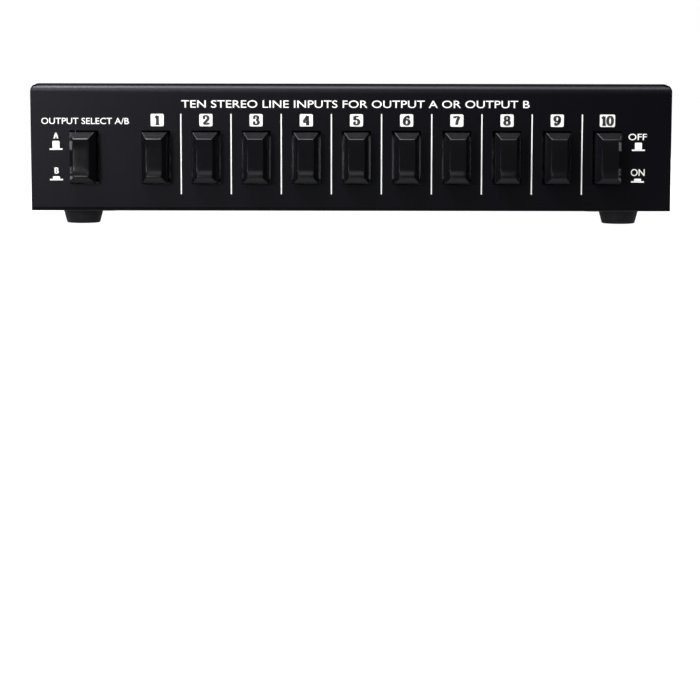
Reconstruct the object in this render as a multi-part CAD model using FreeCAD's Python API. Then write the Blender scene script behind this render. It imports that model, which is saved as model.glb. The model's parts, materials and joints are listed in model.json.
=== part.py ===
import FreeCAD, Part
import math
import os

# Audio signal selector: a low box of folded steel with ten input buttons and one output
# button on the front, and twelve stereo pairs of phono jacks on the back.
# Units are millimetres.  X runs to the right seen from the front, Y runs from the front
# to the back, Z is up.  The origin is on the surface that the feet stand on, under the
# middle of the case.

# ---------------------------------------------------------------- driving dimensions

# Case: its width comes from the jack blocks and its height from what stands on its floor
CASE_DEPTH = 100.0              # front panel's face to rear wall's face
SHEET = 1.0                     # steel sheet of the chassis and the cover
COVER_RADIUS = 2.5              # outside of the cover's two bends
NOSE_RADIUS = 2.5               # outside of the bend along the front panel's top
FOLD_RADIUS = 1.2               # outside of the bends along the floor
LIP_FLAT = 0.6                  # flat part of the lip behind the front panel's top bend
REVEAL = 0.45                   # the cover stands this far proud of the front panel's edges
SEAM = 0.2                      # gap between the cover's front edge and the front panel
REAR_SEAM = 0.35                # gap between the rear wall's top edge and the cover
SIDE_FIT = 0.15                 # gap between the chassis and the cover's side walls
LUG_LENGTH = 14.0               # lugs folded up at the floor's sides, for the cover's screws
LUG_MARGIN = 3.5                # lug's edge above the screw's axis

# Self-adhesive feet
FOOT_HEIGHT = 4.4
FOOT_DIAMETER = 12.2            # against the floor
FOOT_BOTTOM_DIAMETER = 10.3     # above the chamfer
FOOT_EDGE = 0.6                 # chamfer round the face on the ground
FOOT_INSET_X = 13.8             # foot's centre in from the case side
FOOT_INSET_Y = 15.7             # foot's centre in from the front and the rear face

# Main board on two hexagonal spacers
BOARD_THICKNESS = 1.6
BOARD_SIDE_GAP = 3.85           # board's side edge to a lug
BOARD_LEDGE = 0.5               # board's front edge in front of the switch frame
BOARD_REAR_GAP = 0.5            # board's rear edge to the rear wall's inner face
SPACER_HEIGHT = 6.6             # floor's top to the board's underside
SPACER_ACROSS = 5.5             # hexagon across its flats
SPACER_INSET = 6.0              # spacer's axis in from the board's side edge
SPACER_BEHIND_SWITCHES = 6.0

# Push switches behind the front panel
BUTTON_PITCH = 15.0
OUTPUT_INSET = 16.1             # output button's axis from the left side of the case
OUTPUT_SPACING = 21.5           # output button to input 1
LEGEND_ROOM = 16.0              # least room to the right of the last button's axis
SWITCH_AXIS_HEIGHT = 6.8        # plunger's axis above the board
SWITCH_WIDTH = 8.0
SWITCH_HEIGHT = 12.8
SWITCH_END_WALL = 6.0
SWITCH_RAIL = 1.6               # width of the two rails that a switch stands on
SWITCH_RAIL_HEIGHT = 1.2
TRAVEL = 5.0                    # full stroke of a button
PRESS_ROOM = 1.0                # left between the frame and a cap that is pushed right in
PLUNGER_WIDTH = 3.6
PLUNGER_HEIGHT = 4.4
PLUNGER_INSIDE = 12.0           # plunger's length inside the switch, button out
PLUNGER_FIT = 0.15              # running gap round a plunger, each side
SPRING_ROOM = 4.0               # behind a plunger that is pushed right in
FRAME_SHEET = 0.8
FRAME_FLANGE = 6.0              # length of the frame's flange over the switches
FRAME_MARGIN = 1.5              # frame's end past the outermost switch

# Button caps
CAP_WIDTH = 7.3
CAP_HEIGHT = 15.0
CAP_PROTRUSION = 9.0            # in front of the panel, button out
CAP_INSIDE = 4.5                # behind the panel, button out
CAP_SIDE_CHAMFER = 1.6          # the chamfers are at 45 degrees
CAP_TOP_CHAMFER = 2.3
CAP_BOTTOM_CHAMFER = 1.8
CAP_SCOOP_DEPTH = 0.6           # hollow for the finger tip
CAP_SOCKET_DEPTH = 8.0          # plunger's length inside the cap
CAP_SOCKET_FIT = 0.05           # room round the plunger in the cap, each side
WINDOW_GAP_X = 0.65             # panel's window round a cap, each side
WINDOW_GAP_Z = 0.5

# Phono jacks, in blocks of two by two
BLOCK_COUNT = 6
BLOCK_GAP = 3.4                 # between two blocks
BLOCK_END_ROOM = 5.5            # outermost blocks to the case sides
BLOCK_HEAD_ROOM = 0.9           # blocks' tops to the cover
BLOCK_DEPTH = 12.5
BLOCK_CHAMFER = 2.0
BLOCK_EDGE = 6.5                # jack's axis to the block's side
BLOCK_FOOT = 6.7                # lower jack's axis above the board
BLOCK_HEAD = 6.2                # upper jack's axis to the block's top
JACK_PITCH = 14.0
BARREL_DIAMETER = 8.3
BARREL_WALL = 0.9
BARREL_PROTRUSION = 9.0         # behind the rear wall
PANEL_HOLE_GAP = 1.1            # rear wall's hole round a barrel, each side
INSULATOR_GAP = 0.15            # ring between barrel and insulator
INSULATOR_RECESS = 0.7          # insulator's face inside the barrel's rim
SOCKET_DIAMETER = 3.4           # hole for a plug's pin
CONTACT_FIT = 0.25              # room round a contact in its hole
CONTACT_STRIP = 0.3
CONTACT_WIDTH = 1.2
CONTACT_RECESS = 2.0            # contact's tips behind the insulator's face

# Screws
SCREW_FIT = 0.05                # room round every screw's shank, each side
COVER_SCREW_SHANK = 3.0
COVER_SCREW_HEAD_DIAMETER = 5.0 # countersunk
COVER_SCREW_LENGTH = 6.0
BOARD_SCREW_SHANK = 3.0
BOARD_SCREW_HEAD_DIAMETER = 5.5
BOARD_SCREW_HEAD_HEIGHT = 1.6
BOARD_SCREW_LENGTH = 6.0
JACK_SCREW_SHANK = 2.8
JACK_SCREW_HEAD_DIAMETER = 5.0
JACK_SCREW_HEAD_HEIGHT = 1.7
JACK_SCREW_LENGTH = 8.0
PANEL_SCREW_FIT = 0.3           # room round a jack screw in the rear wall, each side

# Small repeated rounds (bores, shanks, screw heads, insulators) and feet are many-sided
PRISM_SIDES = 12
FOOT_SIDES = 24

# ---------------------------------------------------------------- derived places

BLOCK_WIDTH = JACK_PITCH + 2 * BLOCK_EDGE
BLOCK_HEIGHT = BLOCK_FOOT + JACK_PITCH + BLOCK_HEAD
BLOCK_PITCH = BLOCK_WIDTH + BLOCK_GAP
BLOCK_ROW = BLOCK_COUNT * BLOCK_PITCH - BLOCK_GAP
CASE_WIDTH = BLOCK_ROW + 2 * (SHEET + BLOCK_END_ROOM)
CASE_HEIGHT = 2 * SHEET + SPACER_HEIGHT + BOARD_THICKNESS + BLOCK_HEIGHT + BLOCK_HEAD_ROOM

FRONT = -CASE_DEPTH / 2
REAR = CASE_DEPTH / 2
SIDE = CASE_WIDTH / 2
FLOOR_UNDER = FOOT_HEIGHT
FLOOR_TOP = FLOOR_UNDER + SHEET
CASE_TOP = FLOOR_UNDER + CASE_HEIGHT
COVER_UNDER = CASE_TOP - SHEET
PANEL_BACK = FRONT + SHEET
WALL_INSIDE = REAR - SHEET

PANEL_HALF = SIDE - REVEAL
PANEL_TOP = CASE_TOP - REVEAL
COVER_INSIDE = SIDE - SHEET
FLOOR_HALF = COVER_INSIDE - SIDE_FIT
LIP_BACK = FRONT + NOSE_RADIUS + LIP_FLAT
COVER_FRONT = PANEL_BACK + SEAM
COVER_SCREW_Z = FLOOR_TOP + SPACER_HEIGHT / 2

FOOT_X = SIDE - FOOT_INSET_X
FOOT_Y = REAR - FOOT_INSET_Y

BOARD_UNDER = FLOOR_TOP + SPACER_HEIGHT
BOARD_TOP = BOARD_UNDER + BOARD_THICKNESS
AXIS_Z = BOARD_TOP + SWITCH_AXIS_HEIGHT
SWITCH_TOP = BOARD_TOP + SWITCH_HEIGHT

CAP_FRONT = FRONT - CAP_PROTRUSION
CAP_BACK = PANEL_BACK + CAP_INSIDE
FRAME_FRONT = CAP_BACK + TRAVEL + PRESS_ROOM
SWITCH_FRONT = FRAME_FRONT + FRAME_SHEET
PLUNGER_BACK = SWITCH_FRONT + PLUNGER_INSIDE
CHANNEL_BACK = PLUNGER_BACK + TRAVEL + SPRING_ROOM
SWITCH_BACK = CHANNEL_BACK + SWITCH_END_WALL

BOARD_HALF = FLOOR_HALF - SHEET - BOARD_SIDE_GAP
BOARD_FRONT = FRAME_FRONT - BOARD_LEDGE
BOARD_REAR = WALL_INSIDE - BOARD_REAR_GAP
SPACER_X = BOARD_HALF - SPACER_INSET
SPACER_Y = SWITCH_BACK + SPACER_BEHIND_SWITCHES

# Two jack pairs are outputs, and each of the others has an input button if it has room
OUTPUT_X = OUTPUT_INSET - SIDE
FIRST_INPUT_X = OUTPUT_X + OUTPUT_SPACING
BUTTONS_WITH_ROOM = int((SIDE - LEGEND_ROOM - FIRST_INPUT_X) / BUTTON_PITCH) + 1
INPUT_COUNT = min(2 * BLOCK_COUNT - 2, BUTTONS_WITH_ROOM)
INPUT_XS = [FIRST_INPUT_X + i * BUTTON_PITCH for i in range(INPUT_COUNT)]
SWITCHES = {"output": OUTPUT_X} | {f"input_{i + 1}": x for i, x in enumerate(INPUT_XS)}

BLOCK_XS = [(i - (BLOCK_COUNT - 1) / 2) * BLOCK_PITCH for i in range(BLOCK_COUNT)]
BLOCK_TOP = BOARD_TOP + BLOCK_HEIGHT
BLOCK_FRONT = WALL_INSIDE - BLOCK_DEPTH
JACK_XS = [x + side * JACK_PITCH / 2 for x in BLOCK_XS for side in (-1, 1)]
RIGHT_ROW_Z = BOARD_TOP + BLOCK_FOOT
LEFT_ROW_Z = RIGHT_ROW_Z + JACK_PITCH
JACK_SCREW_Z = (LEFT_ROW_Z + RIGHT_ROW_Z) / 2
BARREL_END = REAR + BARREL_PROTRUSION
BARREL_BORE = BARREL_DIAMETER - 2 * BARREL_WALL
INSULATOR_END = BARREL_END - INSULATOR_RECESS
CONTACT_END = INSULATOR_END - CONTACT_RECESS

OVERSHOOT = 1.0                 # how far cutting shapes reach past what they cut
TOUCHING = 1e-6                 # points closer than this are one point

ALONG_X = FreeCAD.Vector(1, 0, 0)
ALONG_Y = FreeCAD.Vector(0, 1, 0)
ALONG_Z = FreeCAD.Vector(0, 0, 1)


# ---------------------------------------------------------------- shape helpers

def box(x0, x1, y0, y1, z0, z1):
    """Block between two corners."""
    return Part.makeBox(x1 - x0, y1 - y0, z1 - z0, FreeCAD.Vector(x0, y0, z0))


def rod(start, axis, diameter, length):
    """Cylinder from a start point along an axis."""
    return Part.makeCylinder(diameter / 2, length, FreeCAD.Vector(*start), axis)


def prism(start, axis, diameter, length, bore=False):
    """Regular prism for a small round, within its circle, or round it when it cuts a bore."""
    corner_radius = diameter / 2
    if bore:
        corner_radius /= math.cos(math.pi / PRISM_SIDES)
    base = polygon_points(start, axis, corner_radius, PRISM_SIDES)
    return Part.Face(Part.makePolygon([*base, base[0]])).extrude(axis * length)


def frustum(start, axis, diameter, end_diameter, length, sides):
    """Tapered regular prism with flat sides."""
    end = FreeCAD.Vector(*start) + axis * length
    base = polygon_points(start, axis, diameter / 2, sides)
    tip = polygon_points(end, axis, end_diameter / 2, sides)
    rings = [[*base, base[0]], [*tip, tip[0]]]
    for i in range(sides):
        j = (i + 1) % sides
        rings.append([base[i], base[j], tip[j], tip[i], base[i]])
    solid = Part.Solid(Part.Shell([Part.Face(Part.makePolygon(ring)) for ring in rings]))
    return solid if solid.Volume > 0 else solid.reversed()


def polygon_points(start, axis, corner_radius, sides):
    """Corners of a regular polygon round an axis."""
    centre = FreeCAD.Vector(*start)
    across = ALONG_X if abs(axis.x) < 0.5 else ALONG_Y
    return [
        centre + FreeCAD.Rotation(axis, 360 * i / sides).multVec(across * corner_radius)
        for i in range(sides)
    ]


def mirrored(shape):
    """The shape and its mirror image on the other side of the case."""
    return [shape, shape.mirror(FreeCAD.Vector(0, 0, 0), ALONG_X)]


def rounded_wire(points, radii):
    """Closed wire through the points, with an arc of the given radius at each corner."""
    starts = []
    stops = []
    edges = []
    for i, (corner, radius) in enumerate(zip(points, radii)):
        if radius <= 0:
            starts.append(corner)
            stops.append(corner)
            continue
        before = (points[i - 1] - corner).normalize()
        after = (points[(i + 1) % len(points)] - corner).normalize()
        half = before.getAngle(after) / 2
        start = corner + before * (radius / math.tan(half))
        stop = corner + after * (radius / math.tan(half))
        middle = corner + (before + after).normalize() * (radius / math.sin(half) - radius)
        edges.append(Part.Arc(start, middle, stop).toShape())
        starts.append(start)
        stops.append(stop)
    for i, stop in enumerate(stops):
        start = starts[(i + 1) % len(points)]
        if not stop.isEqual(start, TOUCHING):
            edges.append(Part.LineSegment(stop, start).toShape())
    return Part.Wire(Part.__sortEdges__(edges))


def folded_sheet(corners, bend_radii, sheet, facing, length):
    """Sheet folded at right angles and extruded from its outline.

    The corners are the outer ones from end to end, in a plane seen from the side that facing
    points to, with the inside on the left.  The bend radii are the outer ones.  The sheet
    runs to both sides of the outline's plane, half of its length each way.
    """
    inner = []
    for i, corner in enumerate(corners):
        offset = FreeCAD.Vector(0, 0, 0)
        if i > 0:
            offset += facing.cross(corner - corners[i - 1]).normalize() * sheet
        if i < len(corners) - 1:
            offset += facing.cross(corners[i + 1] - corner).normalize() * sheet
        inner.append(corner + offset)
    inner_radii = [max(radius - sheet, 0) for radius in bend_radii]
    radii = [0, *bend_radii, 0, 0, *reversed(inner_radii), 0]
    outline = rounded_wire([*corners, *reversed(inner)], radii)
    outline.translate(facing * (-length / 2))
    return Part.Face(outline).extrude(facing * length)


def rounded_slab(half_width, top, corner_radius, y0, y1):
    """Upright slab from the ground to its top, with its two upper corners rounded."""
    corners = [
        in_front_view(-half_width, 0),
        in_front_view(half_width, 0),
        in_front_view(half_width, top),
        in_front_view(-half_width, top),
    ]
    outline = rounded_wire(corners, [0, 0, corner_radius, corner_radius])
    outline.translate(ALONG_Y * y0)
    return Part.Face(outline).extrude(ALONG_Y * (y1 - y0))


def in_side_view(y, z):
    return FreeCAD.Vector(0, y, z)


def in_front_view(x, z):
    return FreeCAD.Vector(x, 0, z)


# ---------------------------------------------------------------- case

def chassis():
    """Front panel, floor and rear wall folded from one sheet, with a lug at each side."""
    corners = [
        in_side_view(LIP_BACK, PANEL_TOP),
        in_side_view(FRONT, PANEL_TOP),
        in_side_view(FRONT, FLOOR_UNDER),
        in_side_view(REAR, FLOOR_UNDER),
        in_side_view(REAR, COVER_UNDER - REAR_SEAM),
    ]
    bends = [NOSE_RADIUS, FOLD_RADIUS, FOLD_RADIUS]
    body = folded_sheet(corners, bends, SHEET, ALONG_X, 2 * PANEL_HALF).common(chassis_envelope())
    notch = box(FLOOR_HALF - FOLD_RADIUS, SIDE, -LUG_LENGTH / 2, LUG_LENGTH / 2, 0, FLOOR_TOP)
    body = body.cut(mirrored(notch))
    body = body.fuse(mirrored(lug())).removeSplitter()
    return body.cut(front_openings() + rear_openings() + mirrored(lug_hole()))


def chassis_envelope():
    """Room for the chassis: the panel hides the cover's front edges, the rest is inside it."""
    panel_radius = COVER_RADIUS - REVEAL
    panel = rounded_slab(PANEL_HALF, PANEL_TOP, panel_radius, FRONT, PANEL_BACK)
    lip = rounded_slab(FLOOR_HALF, PANEL_TOP, panel_radius, PANEL_BACK, LIP_BACK)
    inside = rounded_slab(FLOOR_HALF, COVER_UNDER - REAR_SEAM, COVER_RADIUS - SHEET, LIP_BACK, REAR)
    return panel.fuse([lip, inside])


def lug():
    """Lug folded up from the floor's right edge."""
    corners = [
        in_front_view(FLOOR_HALF - FOLD_RADIUS, FLOOR_UNDER),
        in_front_view(FLOOR_HALF, FLOOR_UNDER),
        in_front_view(FLOOR_HALF, COVER_SCREW_Z + LUG_MARGIN),
    ]
    return folded_sheet(corners, [FOLD_RADIUS], SHEET, -ALONG_Y, LUG_LENGTH)


def lug_hole():
    start = (FLOOR_HALF - SHEET - OVERSHOOT, 0, COVER_SCREW_Z)
    return prism(start, ALONG_X, COVER_SCREW_SHANK + 2 * SCREW_FIT, SHEET + 2 * OVERSHOOT, bore=True)


def front_openings():
    """A window for each button's cap."""
    half_width = CAP_WIDTH / 2 + WINDOW_GAP_X
    half_height = CAP_HEIGHT / 2 + WINDOW_GAP_Z
    return [
        box(x - half_width, x + half_width, FRONT - OVERSHOOT, PANEL_BACK + OVERSHOOT,
            AXIS_Z - half_height, AXIS_Z + half_height)
        for x in SWITCHES.values()
    ]


def rear_openings():
    """Round holes for the jacks, and one for each block's screw."""
    start_y = WALL_INSIDE - OVERSHOOT
    length = SHEET + 2 * OVERSHOOT
    screw_hole = JACK_SCREW_SHANK + 2 * PANEL_SCREW_FIT
    jack_hole = BARREL_DIAMETER + 2 * PANEL_HOLE_GAP
    jacks = [prism((x, start_y, z), ALONG_Y, jack_hole, length, bore=True) for x, z in jack_places()]
    screws = [prism((x, start_y, JACK_SCREW_Z), ALONG_Y, screw_hole, length, bore=True) for x in BLOCK_XS]
    return jacks + screws


def top_cover():
    """Top and side walls folded from one sheet, cut back round the front panel's lip."""
    corners = [
        in_front_view(SIDE, FLOOR_UNDER),
        in_front_view(SIDE, CASE_TOP),
        in_front_view(-SIDE, CASE_TOP),
        in_front_view(-SIDE, FLOOR_UNDER),
    ]
    depth = REAR - COVER_FRONT
    body = folded_sheet(corners, [COVER_RADIUS, COVER_RADIUS], SHEET, -ALONG_Y, depth)
    body.translate(ALONG_Y * (COVER_FRONT + REAR) / 2)
    lip_room = box(-COVER_INSIDE, COVER_INSIDE, COVER_FRONT - OVERSHOOT, LIP_BACK + SEAM,
                   CASE_TOP - NOSE_RADIUS - COVER_RADIUS, CASE_TOP + OVERSHOOT)
    return body.cut([lip_room] + mirrored(countersunk_screw(SCREW_FIT)))


def countersunk_screw(room=0.0):
    """Cover screw on the right side, or the hole for it when room is given."""
    shank = COVER_SCREW_SHANK + 2 * room
    head = COVER_SCREW_HEAD_DIAMETER + 2 * room
    slope = (head - shank) / 2
    cone = frustum((SIDE, 0, COVER_SCREW_Z), -ALONG_X, head, shank, slope, PRISM_SIDES)
    shank = prism((SIDE, 0, COVER_SCREW_Z), -ALONG_X, shank, COVER_SCREW_LENGTH, bore=room > 0)
    return cone.fuse(shank)


def cover_screws():
    return Part.makeCompound(mirrored(countersunk_screw()))


def foot_places():
    return [(x, y) for x in (-FOOT_X, FOOT_X) for y in (-FOOT_Y, FOOT_Y)]


def feet():
    """Tapered rubber feet, stuck to the floor's underside."""
    ground = FOOT_BOTTOM_DIAMETER - 2 * FOOT_EDGE
    height = FOOT_HEIGHT - FOOT_EDGE
    feet = []
    for x, y in foot_places():
        edge = frustum((x, y, 0), ALONG_Z, ground, FOOT_BOTTOM_DIAMETER, FOOT_EDGE, FOOT_SIDES)
        body = frustum(
            (x, y, FOOT_EDGE), ALONG_Z, FOOT_BOTTOM_DIAMETER, FOOT_DIAMETER, height, FOOT_SIDES)
        feet.append(edge.fuse(body))
    return Part.makeCompound(feet)


# ---------------------------------------------------------------- board

def spacer_places():
    return [(x, SPACER_Y) for x in (-SPACER_X, SPACER_X)]


def main_board():
    """Circuit board that carries the switches and the jack blocks."""
    board = box(-BOARD_HALF, BOARD_HALF, BOARD_FRONT, BOARD_REAR, BOARD_UNDER, BOARD_TOP)
    hole = BOARD_SCREW_SHANK + 2 * SCREW_FIT
    holes = [
        prism((x, y, BOARD_UNDER), ALONG_Z, hole, BOARD_THICKNESS, bore=True) for x, y in spacer_places()
    ]
    return board.cut(holes)


def board_spacers():
    """Hexagonal spacers with a threaded bore."""
    spacers = []
    for x, y in spacer_places():
        foot = (x, y, FLOOR_TOP)
        across_corners = SPACER_ACROSS / math.cos(math.pi / 6)
        hexagon = frustum(foot, ALONG_Z, across_corners, across_corners, SPACER_HEIGHT, 6)
        bore = prism(foot, ALONG_Z, BOARD_SCREW_SHANK + 2 * SCREW_FIT, SPACER_HEIGHT, bore=True)
        spacers.append(hexagon.cut(bore))
    return Part.makeCompound(spacers)


def board_screws():
    """Screws through the board into its spacers."""
    screws = []
    for x, y in spacer_places():
        head = prism((x, y, BOARD_TOP), ALONG_Z, BOARD_SCREW_HEAD_DIAMETER, BOARD_SCREW_HEAD_HEIGHT)
        shank = prism((x, y, BOARD_TOP), -ALONG_Z, BOARD_SCREW_SHANK, BOARD_SCREW_LENGTH)
        screws.append(head.fuse(shank))
    return Part.makeCompound(screws)


# ---------------------------------------------------------------- push switches

def switch_frame():
    """Steel angle that ties the switches' fronts together, with a window for each plunger."""
    left = OUTPUT_X - SWITCH_WIDTH / 2 - FRAME_MARGIN
    right = INPUT_XS[-1] + SWITCH_WIDTH / 2 + FRAME_MARGIN
    corners = [
        in_side_view(SWITCH_FRONT + FRAME_FLANGE, SWITCH_TOP + FRAME_SHEET),
        in_side_view(FRAME_FRONT, SWITCH_TOP + FRAME_SHEET),
        in_side_view(FRAME_FRONT, BOARD_TOP),
    ]
    angle = folded_sheet(corners, [FRAME_SHEET], FRAME_SHEET, ALONG_X, right - left)
    angle.translate(ALONG_X * (left + right) / 2)
    windows = [
        plunger_block(x, FRAME_FRONT - OVERSHOOT, SWITCH_FRONT + OVERSHOOT, PLUNGER_FIT)
        for x in SWITCHES.values()
    ]
    return angle.cut(windows)


def plunger_block(x, y0, y1, room=0.0):
    """Block of a plunger's section, or of the room round it."""
    half_width = PLUNGER_WIDTH / 2 + room
    half_height = PLUNGER_HEIGHT / 2 + room
    return box(x - half_width, x + half_width, y0, y1, AXIS_Z - half_height, AXIS_Z + half_height)


def switch_body(x):
    """Switch housing on two rails, with the plunger's channel open to the front."""
    half = SWITCH_WIDTH / 2
    body = box(x - half, x + half, SWITCH_FRONT, SWITCH_BACK, BOARD_TOP, SWITCH_TOP)
    gap = half - SWITCH_RAIL
    under = box(x - gap, x + gap, SWITCH_FRONT, SWITCH_BACK, BOARD_TOP, BOARD_TOP + SWITCH_RAIL_HEIGHT)
    return body.cut([under, plunger_block(x, SWITCH_FRONT, CHANNEL_BACK, PLUNGER_FIT)])


def plunger(x):
    """Bar that joins a cap to its switch."""
    return plunger_block(x, CAP_BACK - CAP_SOCKET_DEPTH, PLUNGER_BACK)


def button_cap(x):
    """Cap with a chamfered front, a finger hollow and a socket for the plunger."""
    half = CAP_WIDTH / 2
    bottom = AXIS_Z - CAP_HEIGHT / 2
    top = AXIS_Z + CAP_HEIGHT / 2
    body = box(x - half, x + half, CAP_FRONT, CAP_BACK, bottom, top)
    cuts = [
        chamfer_wedge((x - half, bottom), (CAP_SIDE_CHAMFER, 0), (0, CAP_HEIGHT)),
        chamfer_wedge((x + half, bottom), (-CAP_SIDE_CHAMFER, 0), (0, CAP_HEIGHT)),
        chamfer_wedge((x - half, bottom), (0, CAP_BOTTOM_CHAMFER), (CAP_WIDTH, 0)),
        chamfer_wedge((x - half, top), (0, -CAP_TOP_CHAMFER), (CAP_WIDTH, 0)),
        plunger_block(x, CAP_BACK - CAP_SOCKET_DEPTH, CAP_BACK, CAP_SOCKET_FIT),
        finger_scoop(x, bottom + CAP_BOTTOM_CHAMFER, top - CAP_TOP_CHAMFER),
    ]
    return body.cut(cuts)


def chamfer_wedge(corner, inward, along):
    """Wedge at 45 degrees off a cap's front edge, from a corner, across and along the edge."""
    x, z = corner
    outer = FreeCAD.Vector(x, CAP_FRONT, z)
    across = FreeCAD.Vector(inward[0], 0, inward[1])
    face = outer + across
    flank = outer + ALONG_Y * across.Length
    edge = FreeCAD.Vector(along[0], 0, along[1])
    return Part.Face(Part.makePolygon([outer, face, flank, outer])).extrude(edge)


def finger_scoop(x, bottom, top):
    """Cylinder across a cap that hollows its front face by the scoop's depth."""
    radius = ((top - bottom) ** 2 / 4 + CAP_SCOOP_DEPTH ** 2) / (2 * CAP_SCOOP_DEPTH)
    centre = (x - CAP_WIDTH / 2, CAP_FRONT + CAP_SCOOP_DEPTH - radius, (bottom + top) / 2)
    return rod(centre, ALONG_X, 2 * radius, CAP_WIDTH)


# ---------------------------------------------------------------- phono jacks

def jack_places():
    return [(x, z) for x in JACK_XS for z in (LEFT_ROW_Z, RIGHT_ROW_Z)]


def jack_blocks():
    """Moulded blocks behind the rear wall, each with a boss hole for its screw."""
    blocks = []
    for x in BLOCK_XS:
        side = [
            in_side_view(WALL_INSIDE, BOARD_TOP),
            in_side_view(WALL_INSIDE, BLOCK_TOP),
            in_side_view(BLOCK_FRONT + BLOCK_CHAMFER, BLOCK_TOP),
            in_side_view(BLOCK_FRONT, BLOCK_TOP - BLOCK_CHAMFER),
            in_side_view(BLOCK_FRONT, BOARD_TOP),
        ]
        block = Part.Face(Part.makePolygon([*side, side[0]])).extrude(ALONG_X * BLOCK_WIDTH)
        block.translate(ALONG_X * (x - BLOCK_WIDTH / 2))
        hole = JACK_SCREW_SHANK + 2 * SCREW_FIT
        bore = prism((x, WALL_INSIDE, JACK_SCREW_Z), -ALONG_Y, hole, JACK_SCREW_LENGTH, bore=True)
        blocks.append(block.cut(bore))
    return Part.makeCompound(blocks)


def jack_barrels():
    """Plated outer contacts, standing on the blocks' faces."""
    length = BARREL_END - WALL_INSIDE
    barrels = []
    for x, z in jack_places():
        start = (x, WALL_INSIDE, z)
        bore = prism(start, ALONG_Y, BARREL_BORE, length, bore=True)
        barrels.append(rod(start, ALONG_Y, BARREL_DIAMETER, length).cut(bore))
    return Part.makeCompound(barrels)


def jack_insulators(row_z):
    """Coloured insulators of one row, each with the hole for a plug's pin."""
    length = INSULATOR_END - WALL_INSIDE
    insulators = []
    for x in JACK_XS:
        start = (x, WALL_INSIDE, row_z)
        body = prism(start, ALONG_Y, BARREL_BORE - 2 * INSULATOR_GAP, length)
        insulators.append(body.cut(prism(start, ALONG_Y, SOCKET_DIAMETER, length, bore=True)))
    return Part.makeCompound(insulators)


def jack_contacts():
    """Sprung forks that grip a plug's pin, one in each insulator."""
    half_width = CONTACT_WIDTH / 2
    outer = math.sqrt((SOCKET_DIAMETER / 2 - CONTACT_FIT) ** 2 - half_width ** 2)
    inner = outer - CONTACT_STRIP
    root = WALL_INSIDE + CONTACT_STRIP
    contacts = []
    for x, z in jack_places():
        fork = box(x - outer, x + outer, WALL_INSIDE, CONTACT_END, z - half_width, z + half_width)
        slot = box(x - inner, x + inner, root, CONTACT_END, z - half_width, z + half_width)
        contacts.append(fork.cut(slot))
    return Part.makeCompound(contacts)


def jack_screws():
    """Pan-head screws through the rear wall into the jack blocks."""
    screws = []
    for x in BLOCK_XS:
        head = prism((x, REAR, JACK_SCREW_Z), ALONG_Y, JACK_SCREW_HEAD_DIAMETER, JACK_SCREW_HEAD_HEIGHT)
        shank = prism((x, REAR, JACK_SCREW_Z), -ALONG_Y, JACK_SCREW_SHANK, JACK_SCREW_LENGTH)
        screws.append(head.fuse(shank))
    return Part.makeCompound(screws)


# ---------------------------------------------------------------- output

def sub_parts():
    """Every sub-part's node name and shape."""
    parts = {
        "chassis": chassis(),
        "top_cover": top_cover(),
        "cover_screws": cover_screws(),
        "feet": feet(),
        "main_board": main_board(),
        "board_spacers": board_spacers(),
        "board_screws": board_screws(),
        "switch_frame": switch_frame(),
        "jack_blocks": jack_blocks(),
        "jack_barrels": jack_barrels(),
        "jack_insulators_left": jack_insulators(LEFT_ROW_Z),
        "jack_insulators_right": jack_insulators(RIGHT_ROW_Z),
        "jack_contacts": jack_contacts(),
        "jack_screws": jack_screws(),
    }
    for name, x in SWITCHES.items():
        parts[f"switch_{name}"] = switch_body(x)
        parts[f"plunger_{name}"] = plunger(x)
        parts[f"cap_{name}"] = button_cap(x)
    return parts


os.makedirs("parts", exist_ok=True)
for node, shape in sub_parts().items():
    shape.exportStep(f"parts/{node}.step")
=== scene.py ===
import json
import math

import bmesh
import bpy
import numpy as np
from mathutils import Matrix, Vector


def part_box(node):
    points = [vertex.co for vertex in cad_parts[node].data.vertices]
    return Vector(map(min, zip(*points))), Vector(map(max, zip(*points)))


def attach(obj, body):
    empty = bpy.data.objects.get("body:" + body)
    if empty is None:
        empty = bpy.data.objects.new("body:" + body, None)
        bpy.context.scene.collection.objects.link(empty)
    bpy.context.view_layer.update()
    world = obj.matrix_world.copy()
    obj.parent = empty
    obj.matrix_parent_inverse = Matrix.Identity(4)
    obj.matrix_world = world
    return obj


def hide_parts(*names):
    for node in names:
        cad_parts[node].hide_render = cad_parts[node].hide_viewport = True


# Audio signal selector, dressed round its construction model.  The steel tray and cover, the
# board and the switches keep their solids with real finishes.  The caps, the phono jacks, the
# screws, the feet and all the printing are surfaces worked out here.  Sizes are millimetres
# where nothing else is said.

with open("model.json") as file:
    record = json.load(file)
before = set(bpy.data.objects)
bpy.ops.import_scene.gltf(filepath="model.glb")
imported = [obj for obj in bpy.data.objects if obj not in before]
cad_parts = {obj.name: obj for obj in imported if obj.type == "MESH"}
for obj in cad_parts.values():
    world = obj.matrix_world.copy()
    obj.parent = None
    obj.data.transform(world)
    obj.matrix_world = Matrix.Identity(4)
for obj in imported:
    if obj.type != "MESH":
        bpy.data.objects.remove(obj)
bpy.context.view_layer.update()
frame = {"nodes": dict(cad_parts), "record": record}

MM = 0.001


# ---------------------------------------------------------------- places read from the frame

def span(node):
    """Lowest and highest corner of a node in millimetres, as two arrays."""
    low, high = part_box(node)
    return np.array(low) / MM, np.array(high) / MM


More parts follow.
